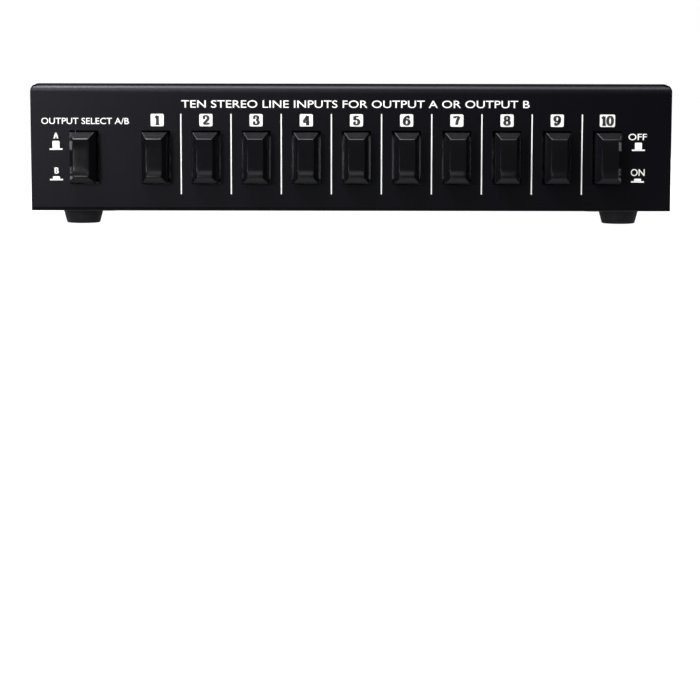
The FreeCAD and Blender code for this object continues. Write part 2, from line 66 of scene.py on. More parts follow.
FRONT = span("chassis")[0][1]
REAR = span("chassis")[1][1]
COVER_BOTTOM = span("top_cover")[0][2]
BUTTONS = [name.removeprefix("cap_") for name in frame["nodes"] if name.startswith("cap_")]
CAP_PLACES = {name: span(f"cap_{name}") for name in BUTTONS}
AXIS_Z = sum(corner[2] for corner in CAP_PLACES["output"]) / 2
BUTTON_X = {name: (low[0] + high[0]) / 2 for name, (low, high) in CAP_PLACES.items()}
INPUTS = [f"input_{i + 1}" for i in range(len(BUTTONS) - 1)]
PITCH = BUTTON_X["input_2"] - BUTTON_X["input_1"]

JACKS = [mount for mount in frame["record"]["mounts"] if mount["kind"] == "pin"]
JACK_CENTRES = np.array([[mount["pos_m"][0] / MM, mount["pos_m"][2] / MM] for mount in JACKS])
JACK_XS = np.unique(JACK_CENTRES[:, 0])
RIGHT_Z, LEFT_Z = np.unique(JACK_CENTRES[:, 1])
BLOCK_XS = (JACK_XS[0::2] + JACK_XS[1::2]) / 2
BLOCK_PITCH = BLOCK_XS[1] - BLOCK_XS[0]
BETWEEN_XS = [x + BLOCK_PITCH / 2 for x in BLOCK_XS[:-1]]
BARREL_RADIUS = JACKS[0]["dims"]["r_mm"]
BARREL_END = span("jack_barrels")[1][1]
JACK_SCREW_Z = (LEFT_Z + RIGHT_Z) / 2


# ---------------------------------------------------------------- surfaces

def joined(grids):
    """Vertices and quads of several grids.

    A grid is (points, closed_rows, closed_columns).  Points have the shape (..., rows,
    columns, 3), and any leading axes count copies of the same surface.
    """
    vertices = []
    quads = []
    start = 0
    for points, closed_rows, closed_columns in grids:
        rows, columns = points.shape[-3:-1]
        copies = points.reshape(-1, rows * columns, 3)
        index = np.arange(rows * columns).reshape(rows, columns)
        if closed_rows:
            index = np.vstack([index, index[:1]])
        if closed_columns:
            index = np.hstack([index, index[:, :1]])
        corners = [index[:-1, :-1], index[1:, :-1], index[1:, 1:], index[:-1, 1:]]
        quad = np.stack(corners, axis=-1).reshape(-1, 4)
        offsets = start + np.arange(len(copies)) * rows * columns
        quads.append((quad[None] + offsets[:, None, None]).reshape(-1, 4))
        vertices.append(copies.reshape(-1, 3))
        start += copies.shape[0] * copies.shape[1]
    return np.concatenate(vertices), np.concatenate(quads)


WELD = 0.0005                   # points nearer than this are one point
CREASE_DEGREES = 40             # faces that meet at more than this keep a sharp edge


def tidy_mesh(mesh, crease_degrees=CREASE_DEGREES):
    """Closes seams and poles, turns the faces outwards and shades smoothly up to the crease."""
    bm = bmesh.new()
    bm.from_mesh(mesh)
    bmesh.ops.remove_doubles(bm, verts=bm.verts, dist=WELD * MM)
    bmesh.ops.recalc_face_normals(bm, faces=bm.faces)
    for face in bm.faces:
        face.smooth = True
    bm.to_mesh(mesh)
    bm.free()
    mesh.set_sharp_from_angle(angle=math.radians(crease_degrees))


def surface(name, grids, material, body="case", replaces=(), crease_degrees=CREASE_DEGREES):
    """A piece from grids of points in millimetres, riding on a body."""
    vertices, quads = joined(grids)
    mesh = bpy.data.meshes.new(name)
    mesh.vertices.add(len(vertices))
    mesh.vertices.foreach_set("co", (vertices * MM).astype(np.float32).ravel())
    mesh.loops.add(quads.size)
    mesh.loops.foreach_set("vertex_index", quads.astype(np.int32).ravel())
    mesh.polygons.add(len(quads))
    mesh.polygons.foreach_set("loop_start", np.arange(0, quads.size, 4, dtype=np.int32))
    mesh.update(calc_edges=True)
    tidy_mesh(mesh, crease_degrees)
    place(name, mesh, material, body, replaces)


def place(name, mesh, material, body, replaces):
    """Links a mesh as a piece with its material, body, slot and replaced nodes."""
    piece = bpy.data.objects.new(name, mesh)
    bpy.context.scene.collection.objects.link(piece)
    mesh.materials.clear()
    mesh.materials.append(material)
    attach(piece, body)
    if replaces:
        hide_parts(*replaces)
    return piece


def lathe(profile, sides):
    """Surface of revolution round the Y axis.

    The profile is an array of (radius, distance along Y).  A point at the angle t is
    (radius * cos t, distance, radius * sin t).
    """
    turn = np.linspace(0, 2 * math.pi, sides, endpoint=False)[:, None]
    radius, along = np.array(profile, float).T
    return np.stack([radius * np.cos(turn), along + 0 * turn, radius * np.sin(turn)], axis=-1)


def arc(centre, radius, start, stop, count=7):
    """Points on a circle, or an ellipse for a pair of radii, between two angles in degrees."""
    t = np.radians(np.linspace(start, stop, count))
    radius_x, radius_y = np.broadcast_to(radius, 2)
    return np.stack([centre[0] + radius_x * np.cos(t), centre[1] + radius_y * np.sin(t)], axis=-1)


def at(places, points):
    """Copies of a surface, one at each place (x, y, z)."""
    places = np.array(places, float).reshape(-1, *(1,) * (points.ndim - 1), 3)
    return points[None] + places


def upright(points):
    """Turns a surface made round the Y axis so that its axis points up."""
    return np.stack([points[..., 0], -points[..., 2], points[..., 1]], axis=-1)


# ---------------------------------------------------------------- materials

def linear(hex_colour):
    """Linear RGBA of an sRGB hex colour such as "1b1c1e"."""
    channels = [int(hex_colour[i:i + 2], 16) / 255 for i in (0, 2, 4)]
    return [c / 12.92 if c <= 0.04045 else ((c + 0.055) / 1.055) ** 2.4 for c in channels] + [1.0]


def add(tree, kind, inputs=(), **settings):
    """Adds a node with its settings, and sets or links its inputs by name or number."""
    node = tree.nodes.new(kind)
    for key, value in settings.items():
        setattr(node, key, value)
    for socket, value in dict(inputs).items():
        if isinstance(value, bpy.types.NodeSocket):
            tree.links.new(value, node.inputs[socket])
        else:
            node.inputs[socket].default_value = value
    return node


def blank(name, slot):
    """A new material, its empty tree and the coordinates in the object's own space."""
    material = bpy.data.materials.new(name)
    material.use_nodes = True
    material["slot"] = slot
    tree = material.node_tree
    tree.nodes.clear()
    return material, tree, add(tree, "ShaderNodeTexCoord").outputs["Object"]


def shade(tree, inputs):
    """Ends a material with its shader, fed with plain values and with patterns."""
    shader = add(tree, "ShaderNodeBsdfPrincipled", inputs)
    add(tree, "ShaderNodeOutputMaterial", {"Surface": shader.outputs["BSDF"]})


def scale_of(size_mm):
    """Scale of a noise whose features are about size_mm wide."""
    return 1 / (size_mm * MM)


def onto(low, high):
    """Inputs that map a noise onto the range from low to high: most of it lies from 0.3 to 0.7."""
    return {"From Min": 0.3, "From Max": 0.7, "To Min": low, "To Max": high}


def between(colour_low, colour_high):
    """Inputs for the two colours of a mix, whose sockets for colours have numbers only."""
    return {6: linear(colour_low), 7: linear(colour_high)}


def powder_coat():
    """Black fine-texture polyester powder coat on steel: a soft sheen over a sandy grain.

    The grain of such a coat is about 0.25 mm, drawn here at 0.45 mm so that it shows.  Its
    shade varies in clouds of 14 mm.
    """
    material, tree, here = blank("black_powder_coat", "powder_coated_steel")
    sand = add(tree, "ShaderNodeTexNoise", {"Vector": here, "Scale": scale_of(0.45), "Detail": 3.0})
    cloud = add(tree, "ShaderNodeTexNoise", {"Vector": here, "Scale": scale_of(14.0)})
    colour = add(tree, "ShaderNodeMix", {
        "Factor": cloud.outputs["Fac"], **between("030306", "050508")}, data_type="RGBA")
    sheen = add(tree, "ShaderNodeMapRange", {"Value": sand.outputs["Fac"], **onto(0.33, 0.4)})
    relief = add(tree, "ShaderNodeBump", {
        "Height": sand.outputs["Fac"], "Distance": 0.012 * MM, "Strength": 0.5})
    shade(tree, {
        "Base Color": colour.outputs[2],
        "Roughness": sheen.outputs["Result"],
        "Normal": relief.outputs["Normal"],
        "IOR": 1.179,
        "Specular Tint": linear("f0f0ff"),
    })
    return material


def abs_gloss():
    """Black ABS, moulded in a polished tool: glossy, with an orange peel 1.2 mm wide."""
    material, tree, here = blank("black_abs_gloss", "cap_plastic")
    peel = add(tree, "ShaderNodeTexNoise", {"Vector": here, "Scale": scale_of(1.2)})
    sheen = add(tree, "ShaderNodeMapRange", {"Value": peel.outputs["Fac"], **onto(0.16, 0.2)})
    relief = add(tree, "ShaderNodeBump", {
        "Height": peel.outputs["Fac"], "Distance": 0.003 * MM, "Strength": 0.3})
    shade(tree, {
        "Base Color": linear("0a0a0d"),
        "Roughness": sheen.outputs["Result"],
        "Normal": relief.outputs["Normal"],
        "IOR": 1.18,
    })
    return material


def nickel():
    """Bright nickel plate on turned brass: warm and softly bright, with faint tooling marks.

    The lathe's own marks are too fine to show, and are drawn as clouds of 4 mm.
    """
    material, tree, here = blank("bright_nickel_plate", "nickel_barrel")
    marks = add(tree, "ShaderNodeTexNoise", {"Vector": here, "Scale": scale_of(4.0)})
    colour = add(tree, "ShaderNodeMix", {
        "Factor": marks.outputs["Fac"], **between("c4c2be", "d0cfcd")}, data_type="RGBA")
    sheen = add(tree, "ShaderNodeMapRange", {"Value": marks.outputs["Fac"], **onto(0.3, 0.34)})
    shade(tree, {
        "Base Color": colour.outputs[2],
        "Roughness": sheen.outputs["Result"],
        "Metallic": 1.0,
    })
    return material


def plastic(name, slot, colour_low, colour_high, roughness, ior=1.5):
    """Moulded or pressed plastic: an even colour with faint flow clouds and a soft gloss.

    The clouds are about 3 mm wide, and the tool leaves a texture of 0.2 mm.
    """
    material, tree, here = blank(name, slot)
    flow = add(tree, "ShaderNodeTexNoise", {"Vector": here, "Scale": scale_of(3.0)})
    tool = add(tree, "ShaderNodeTexNoise", {"Vector": here, "Scale": scale_of(0.2)})
    colour = add(tree, "ShaderNodeMix", {
        "Factor": flow.outputs["Fac"], **between(colour_low, colour_high)}, data_type="RGBA")
    sheen = add(tree, "ShaderNodeMapRange", {
        "Value": flow.outputs["Fac"], **onto(roughness - 0.05, roughness + 0.05)})
    relief = add(tree, "ShaderNodeBump", {
        "Height": tool.outputs["Fac"], "Distance": 0.004 * MM, "Strength": 0.5})
    shade(tree, {
        "Base Color": colour.outputs[2],
        "Roughness": sheen.outputs["Result"],
        "Normal": relief.outputs["Normal"],
        "IOR": ior,
    })
    return material


def black_oxide():
    """Blackened steel screw: dark metal with a waxy sheen and worn, lighter patches of 0.5 mm."""
    material, tree, here = blank("black_oxide_steel", "black_screw")
    worn = add(tree, "ShaderNodeTexNoise", {"Vector": here, "Scale": scale_of(0.5), "Detail": 3.0})
    patches = add(tree, "ShaderNodeMapRange", {"Value": worn.outputs["Fac"], **onto(0, 1)})
    colour = add(tree, "ShaderNodeMix", {
        "Factor": patches.outputs["Result"], **between("141416", "303032")}, data_type="RGBA")
    sheen = add(tree, "ShaderNodeMapRange", {"Value": worn.outputs["Fac"], **onto(0.22, 0.32)})
    shade(tree, {
        "Base Color": colour.outputs[2],
        "Roughness": sheen.outputs["Result"],
        "Metallic": 1.0,
    })
    return material


def rubber():
    """Moulded black rubber: matte, slightly grey, with a pebble of 0.35 mm."""
    material, tree, here = blank("moulded_rubber", "foot_rubber")
    cloud = add(tree, "ShaderNodeTexNoise", {"Vector": here, "Scale": scale_of(2.5)})
    pebble = add(tree, "ShaderNodeTexNoise", {"Vector": here, "Scale": scale_of(0.35)})
    colour = add(tree, "ShaderNodeMix", {
        "Factor": cloud.outputs["Fac"], **between("19191c", "212124")}, data_type="RGBA")
    relief = add(tree, "ShaderNodeBump", {
        "Height": pebble.outputs["Fac"], "Distance": 0.02 * MM, "Strength": 0.5})
    shade(tree, {
        "Base Color": colour.outputs[2],
        "Roughness": 0.62,
        "Normal": relief.outputs["Normal"],
        "IOR": 1.26,
    })
    return material


def ink(name, colour_low, colour_high):
    """Screen-printed enamel ink: dense and matte, a little uneven as the screen leaves it.

    The screen's threads are about 0.1 mm apart, and its marks are drawn at 0.3 mm so that
    they show.
    """
    material, tree, here = blank(name, "powder_coated_steel")
    marks = add(tree, "ShaderNodeTexNoise", {"Vector": here, "Scale": scale_of(0.3)})
    colour = add(tree, "ShaderNodeMix", {
        "Factor": marks.outputs["Fac"], **between(colour_low, colour_high)}, data_type="RGBA")
    relief = add(tree, "ShaderNodeBump", {
        "Height": marks.outputs["Fac"], "Distance": 0.005 * MM, "Strength": 0.5})
    shade(tree, {
        "Base Color": colour.outputs[2],
        "Roughness": 0.5,
        "Normal": relief.outputs["Normal"],
        "IOR": 1.5,
    })
    return material


def zinc_steel():
    """Zinc-plated steel: pale metal, brushed along X in streaks of 3 mm by 0.25 mm."""
    material, tree, here = blank("zinc_plated_steel", "plated_steel")
    brushed = add(tree, "ShaderNodeMapping", {"Vector": here, "Scale": (1, 12, 12)})
    streaks = add(tree, "ShaderNodeTexNoise", {
        "Vector": brushed.outputs["Vector"], "Scale": scale_of(3.0)})
    sheen = add(tree, "ShaderNodeMapRange", {"Value": streaks.outputs["Fac"], **onto(0.28, 0.45)})
    shade(tree, {
        "Base Color": linear("a9abac"),
        "Roughness": sheen.outputs["Result"],
        "Metallic": 1.0,
    })
    return material


def contact_metal():
    """Tinned phosphor bronze, satin from the stamping; its dark colour is painted shade for the pin
    holes.
    """
    material, tree, here = blank("tinned_bronze", "contact_bronze")
    stamping = add(tree, "ShaderNodeTexNoise", {"Vector": here, "Scale": scale_of(0.4)})
    sheen = add(tree, "ShaderNodeMapRange", {"Value": stamping.outputs["Fac"], **onto(0.3, 0.42)})
    shade(tree, {
        # the dark base colour is painted shade: it darkens the contacts seen down the pin holes
        "Base Color": linear("3a342a"),
        "Roughness": sheen.outputs["Result"],
        "Metallic": 1.0,
    })
    return material


POWDER_COAT = powder_coat()
ABS_GLOSS = abs_gloss()
NICKEL = nickel()
JACK_PLASTIC = plastic("black_jack_plastic", "jack_block_plastic", "040406", "060608", 0.34, ior=1.2)
WHITE_PLASTIC = plastic("white_polypropylene", "white_insulator", "dcdcd8", "e6e6e2", 0.3, ior=1.35)
RED_PLASTIC = plastic("red_polypropylene", "red_insulator", "980c10", "a41014", 0.28, ior=1.35)
SWITCH_PLASTIC = plastic("grey_switch_plastic", "switch_plastic", "232426", "2a2b2d", 0.5)
ACETAL = plastic("white_acetal", "plunger_plastic", "dcdad2", "e5e3dc", 0.42)
LAMINATE = plastic("green_laminate", "circuit_board", "14502c", "1b5c34", 0.35)
BLACK_OXIDE = black_oxide()
RUBBER = rubber()
WHITE_INK = ink("white_screen_ink", "ececea", "f8f8f6")
BLACK_INK = ink("black_screen_ink", "121214", "19191b")
ZINC = zinc_steel()
CONTACT_METAL = contact_metal()


# ---------------------------------------------------------------- sheet metal and inner pieces

COAT_EASE = 0.08                # radius that the coat gives the sheet's edges
BEND_DEGREES = 30               # the facets of a bend meet at less than this
EDGE_DEGREES = 50               # the sheet's edges are sharper than this


def sheet_metal(name, node):
    """A folded steel piece: its solid with smooth bends and edges eased by the coat."""
    mesh = frame["nodes"][node].data.copy()
    mesh.name = name
    tidy_mesh(mesh, BEND_DEGREES)
    piece = place(name, mesh, POWDER_COAT, "case", [node])
    ease = piece.modifiers.new("eased_edges", "BEVEL")
    ease.width = COAT_EASE * MM
    ease.segments = 2
    ease.limit_method = "ANGLE"
    ease.angle_limit = math.radians(EDGE_DEGREES)
    flats = piece.modifiers.new("flat_faces_stay_flat", "WEIGHTED_NORMAL")
    flats.keep_sharp = True


def dress(node, material):
    """Gives a node that keeps its solid its material."""
    data = frame["nodes"][node].data
    data.materials.clear()
    data.materials.append(material)


def inner_pieces():
    """The pieces inside the case, which keep their solids."""
    dress("main_board", LAMINATE)
    dress("board_spacers", ZINC)
    dress("board_screws", ZINC)
    dress("switch_frame", ZINC)
    dress("jack_blocks", JACK_PLASTIC)
    dress("jack_contacts", CONTACT_METAL)
    for name in BUTTONS:
        dress(f"switch_{name}", SWITCH_PLASTIC)
        dress(f"plunger_{name}", ACETAL)


# ---------------------------------------------------------------- feet

def rubber_feet():
    """Feet as surfaces of revolution: a cone with a rounded lower edge and a hollow sole."""
    low, high = span("feet")
    height = high[2]
    top_radius = 6.1
    top_band = 0.3              # upright part of the side, above the cone
    sole_radius = 5.15
    edge = 0.6
    ring_width = 0.4            # of the flat ring that the foot stands on
    slope = 0.4
    hollow = 0.35
    ring_inside = sole_radius - edge - ring_width
    profile = np.concatenate([
        [(0, height), (top_radius, height), (top_radius, height - top_band)],
        arc((sole_radius - edge, edge), edge, -5, -90),
        [(ring_inside, 0), (ring_inside - slope, hollow), (0, hollow)],
    ])
    foot = upright(lathe(profile, 64))
    x = high[0] - top_radius
    y = high[1] - top_radius
    places = [(i * x, j * y, 0) for i in (-1, 1) for j in (-1, 1)]
    surface("rubber_feet", [(at(places, foot), True, False)], RUBBER, replaces=["feet"])


# ---------------------------------------------------------------- button caps

def smooth_max(first, second, blend):
    """The larger of two heights, rounded over by about blend where they meet."""
    return (first + second + np.sqrt((first - second) ** 2 + blend ** 2)) / 2


CAP_SIDE_CHAMFER = 1.45
CAP_TOP_CHAMFER = 1.95
CAP_BOTTOM_CHAMFER = 1.8
CAP_CHAMFER_DEPTH = 3.4
CAP_HOLLOW = 0.62
CAP_HOLLOW_POWER = 5            # the higher it is, the flatter the hollow's middle
CAP_BLEND = 0.22                # how far the cap's edges are rounded over


def cap_depth(u, w, half, top, bottom):
    """How far a cap's front lies behind its foremost line, at u across and w up.

    It is the larger of a frustum and a finger hollow, rounded where they meet.  The frustum's
    four faces fall to the same depth at the edges.  The hollow is flat in its middle and
    turns up steeply towards its two ends.
    """
    top_line = top - CAP_TOP_CHAMFER
    bottom_line = bottom + CAP_BOTTOM_CHAMFER
    middle = (top_line + bottom_line) / 2
    reach = (top_line - bottom_line) / 2
    depth = CAP_HOLLOW * (1 - (np.abs(w - middle) / reach) ** CAP_HOLLOW_POWER)
    faces = [
        (np.abs(u) - half) / CAP_SIDE_CHAMFER + 1,
        (w - top_line) / CAP_TOP_CHAMFER,
        (bottom_line - w) / CAP_BOTTOM_CHAMFER,
    ]
    for face in faces:
        depth = smooth_max(depth, CAP_CHAMFER_DEPTH * face, CAP_BLEND)
    return depth


def grid_lines(low, high, first_chamfer, last_chamfer, count):
    """Grid lines from low to high, dense over the two chamfers and a little beyond them.

    The dense stretches have 34 lines each, and count lines span what lies between.
    """
    beyond = 0.5
    dense = 34
    start = low + first_chamfer + beyond
    stop = high - last_chamfer - beyond
    return np.concatenate([
        np.linspace(low, start, dense),
        np.linspace(start, stop, count)[1:-1],
        np.linspace(stop, high, dense),
    ])


def button_cap(name):
    """Cap with a chamfered and hollowed front over straight sides.

    Over a grid (u, w) the front lies cap_depth behind the cap's foremost line.  The sides run
    straight back from the grid's rim, and a fan of faces closes the back.
    """
    low, high = CAP_PLACES[name]
    half = (high[0] - low[0]) / 2
    top = high[2] - AXIS_Z
    bottom = low[2] - AXIS_Z
    across = grid_lines(-half, half, CAP_SIDE_CHAMFER, CAP_SIDE_CHAMFER, count=14)
    upwards = grid_lines(bottom, top, CAP_BOTTOM_CHAMFER, CAP_TOP_CHAMFER, count=50)
    u, w = np.meshgrid(across, upwards, indexing="ij")
    y = low[1] + np.maximum(cap_depth(u, w, half, top, bottom), 0)
    front = np.stack([u + BUTTON_X[name], y, w + AXIS_Z], axis=-1)
    rim = np.concatenate([front[:, 0], front[-1, 1:], front[-2::-1, -1], front[0, -2:0:-1]])
    back = rim.copy()
    back[:, 1] = high[1]
    middle = np.broadcast_to(back.mean(axis=0), back.shape)
    sides = np.stack([rim, back, middle])
    grids = [(front, False, False), (sides, False, True)]
    surface(f"button_cap_{name}", grids, ABS_GLOSS, body=f"button_{name}", replaces=[f"cap_{name}"],
            crease_degrees=25)


# ---------------------------------------------------------------- phono jacks

BARREL_WALL = 0.9
INSULATOR_GAP = 0.12            # between an insulator and its barrel


def jack_barrels():
    """Plated barrels: tubes with a fully rounded rim, seated on the blocks."""
    lip = BARREL_WALL / 2
    inside = BARREL_RADIUS - BARREL_WALL
    length = BARREL_END - span("jack_barrels")[0][1]
    profile = np.concatenate([
        [(inside, -length), (inside, -length / 2)],
        arc((BARREL_RADIUS - lip, -lip), lip, 180, 0, 13),
        [(BARREL_RADIUS, -length / 2), (BARREL_RADIUS, -length), (inside, -length)],
    ])
    places = [(x, BARREL_END, z) for x, z in JACK_CENTRES]
    grids = [(at(places, lathe(profile, 72)), True, False)]
    surface("plated_barrels", grids, NICKEL, replaces=["jack_barrels"])


def insulators(name, node, row_z, material):
    """Moulded plugs in the barrels: a dished face with a raised lip round the pin's hole.

    Along the profile the flat rim ends in a step, and the dish goes on to the lip.
    """
    outer = BARREL_RADIUS - BARREL_WALL - INSULATOR_GAP
    hole = 1.7
    face = -0.5                 # behind the barrel's end
    edge = 0.35                 # radius of the face's outer edge
    rim_end = outer - 0.9
    step_run = 0.2
    lip_start = hole + 0.35
    lip = 0.25                  # radius of the lip's edge
    rim_fall = 0.02             # how far each lies behind the face
    step_fall = 0.14
    dish_fall = 0.2
    lip_fall = 0.05
    length = BARREL_END - span(node)[0][1]
    profile = np.concatenate([
        [(outer, -length)],
        arc((outer - edge, face - edge), edge, 0, 90),
        [(rim_end, face - rim_fall), (rim_end - step_run, face - step_fall)],
        [(lip_start, face - dish_fall)],
        arc((hole + lip, face - lip_fall - lip), lip, 90, 180),
        [(hole, -length), (outer, -length)],
    ])
    places = [(x, BARREL_END, row_z) for x in JACK_XS]
    grids = [(at(places, lathe(profile, 64)), True, False)]
    surface(name, grids, material, replaces=[node])


def jack_collars():
    """Black collars of the jack blocks: sleeves in the wall's holes, with a flange outside.

    A groove runs round between the flange and the barrel.
    """
    bore = BARREL_RADIUS + 0.02
    groove_foot = BARREL_RADIUS + 0.35
    groove_mouth = BARREL_RADIUS + 0.5
    sleeve = BARREL_RADIUS + 0.6
    outer = 5.55
    inner_end = REAR - 0.9
    groove_bottom = REAR - 0.25
    seat = REAR + 0.01
    face = REAR + 0.3
    edge = 0.2
    profile = np.concatenate([
        [(bore, inner_end), (bore, groove_bottom)],
        [(groove_foot, groove_bottom), (groove_mouth, face - 0.05)],
        arc((outer - edge, face - edge), edge, 90, 0),
        [(outer, seat), (sleeve, seat), (bore, inner_end)],
    ])
    places = [(x, 0, z) for x, z in JACK_CENTRES]
    surface("jack_collars", [(at(places, lathe(profile, 72)), True, False)], JACK_PLASTIC)


# ---------------------------------------------------------------- screws

def cross_recess(u, w, depth, arm, reach):
    """Depth of a cross recess at u, w: two crossing slots that get narrower and shallower.

    A slot's half width falls from 1.15 to 0.8 of arm over its reach.  Its walls and its ends
    slope over short runs, and its floor rises by 0.45 of the depth.
    """
    side_run = 0.12
    end_run = 0.25
    radius = np.hypot(u, w)
    across = np.minimum(np.abs(u), np.abs(w))
    along = np.maximum(np.abs(u), np.abs(w))
    side = np.clip((arm * (1.15 - 0.35 * along / reach) - across) / side_run, 0, 1)
    end = np.clip((reach - along) / end_run, 0, 1)
    return depth * side * end * (1 - 0.45 * radius / reach)


def screw_head(radius, dome, edge_height, recess_depth):
    """Round head on a polar grid: height over (u, w), from the middle to the rim.

    The height is edge_height plus a dome that falls as the square of the radius, less the
    cross recess, and the rim is rounded down over its last stretch.  It comes back as
    (u, height, w) points with a side wall below the rim and a flat underside.
    """
    rim_start = 0.86            # share of the radius
    rim_drop = 0.35
    arm = 0.42
    reach = 0.62 * radius
    t = np.linspace(0, 1, 36)[:, None]
    turn = np.linspace(0, 2 * math.pi, 96, endpoint=False)[None]
    u = radius * t * np.cos(turn)
    w = radius * t * np.sin(turn)
    rim = np.clip((t - rim_start) / (1 - rim_start), 0, 1)
    height = edge_height + dome * (1 - t ** 2) - rim_drop * rim ** 2 + 0 * turn
    height = height - cross_recess(u, w, recess_depth, arm, reach)
    top = np.stack([u, height, w], axis=-1)
    foot = np.stack([u[-1:], 0 * u[-1:], w[-1:]], axis=-1)
    return np.concatenate([top, foot, 0 * foot])


def jack_screws():
    """Black pan-head screws, one in the middle of each block, each turned another way."""
    head = screw_head(radius=2.25, dome=0.55, edge_height=1.15, recess_depth=1.0)
    first_turn = 20
    turn_step = 67
    u, along, w = np.moveaxis(head, -1, 0)
    heads = []
    for number, x in enumerate(BLOCK_XS):
        turn = math.radians(first_turn + turn_step * number)
        turned_u = u * math.cos(turn) - w * math.sin(turn)
        turned_w = u * math.sin(turn) + w * math.cos(turn)
        heads.append(np.stack([x + turned_u, REAR + along, JACK_SCREW_Z + turned_w], axis=-1))
    surface("pan_head_screws", [(np.array(heads), False, True)], BLACK_OXIDE,
            replaces=["jack_screws"], crease_degrees=60)


def cover_screws():
    """Countersunk screws, flush with the cover's sides."""
    low, high = span("cover_screws")
    radius = (high[2] - low[2]) / 2
    z = (high[2] + low[2]) / 2
    height = 1.0
    u, along, w = np.moveaxis(screw_head(radius, 0.0, height, recess_depth=0.8), -1, 0)
    heads = [np.stack([side * (high[0] - height + along), u, z + w], axis=-1) for side in (-1, 1)]
    surface("countersunk_screws", [(np.array(heads), False, True)], BLACK_OXIDE,
            replaces=["cover_screws"], crease_degrees=60)


# ---------------------------------------------------------------- printing

PRINT = 0.03                    # thickness of a layer of ink, drawn twice as thick as it is


def on_front(points):
    """Points (across, up, lift) on the front panel, across seen from the front."""
    return np.stack([points[..., 0], FRONT - points[..., 2], points[..., 1]], axis=-1)


def on_rear(points):
    """Points (across, up, lift) on the rear wall, across seen from behind."""
    return np.stack([-points[..., 0], REAR + points[..., 2], points[..., 1]], axis=-1)


def plate(outline, layer=0):
    """Flat plate on a panel: rings from the middle to the outline, and down and back below."""
    outline = np.array(outline, float)
    middle = np.broadcast_to(outline.mean(axis=0), outline.shape)
    low = np.full((len(outline), 1), PRINT * layer)
    high = low + PRINT
    rings = [(middle, high), (outline, high), (outline, low), (middle, low)]
    return np.stack([np.hstack([points, lift]) for points, lift in rings])


def rounded(x, z, width, height, radius):
    """Outline of a rectangle with rounded corners: four arcs joined by straight edges."""
    across = width / 2 - radius
    up = height / 2 - radius
    corners = [(across, up, 0), (-across, up, 90), (-across, -up, 180), (across, -up, 270)]
    return np.concatenate([
        arc((x + u, z + w), radius, start, start + 90, 6) for u, w, start in corners
    ])


def ribbon(path, thick, thin, layer=0):
    """Printed stroke along a path of points: thick where it runs upright, thin where it lies.

    Between the two its width follows the 1.5th power of how upright it runs.  Corners are
    mitred, and a point that repeats the one before it is left out.
    """
    path = np.array(path, float)
    path = path[np.append(True, np.linalg.norm(np.diff(path, axis=0), axis=1) > 1e-6)]
    along = np.diff(path, axis=0)
    along /= np.linalg.norm(along, axis=1, keepdims=True)
    ahead = np.vstack([along, along[-1:]])
    behind = np.vstack([along[:1], along])
    mean = (ahead + behind) / np.linalg.norm(ahead + behind, axis=1, keepdims=True)
    mitre = np.clip(np.sum(mean * ahead, axis=1, keepdims=True), 0.5, 1)
    width = thin + (thick - thin) * np.abs(mean[:, 1:]) ** 1.5
    side = np.stack([-mean[:, 1], mean[:, 0]], axis=-1) * width / 2 / mitre
    low = PRINT * layer
    high = low + PRINT
    corners = [(side, high), (side, low), (-side, low), (-side, high)]
    rails = [np.column_stack([path + offset, np.full(len(path), lift)]) for offset, lift in corners]
    points = np.stack(rails, axis=1)
    tips = [np.repeat(end.mean(axis=0)[None, None], 4, axis=1) for end in (points[0], points[-1])]
    return np.concatenate([tips[0], points, tips[1]])


def ring(u, w, radius_u, radius_w):
    """Closed oval round (u, w)."""
    return arc((u, w), (radius_u, radius_w), 90, 450, 25)


def bar(u, w, length):
    """Level bar with its middle at (u, w), such as a serif."""
    return [(u - length / 2, w), (u + length / 2, w)]


def run(*parts):
    """One path from several runs of points."""
    return np.concatenate([np.array(part, float).reshape(-1, 2) for part in parts])


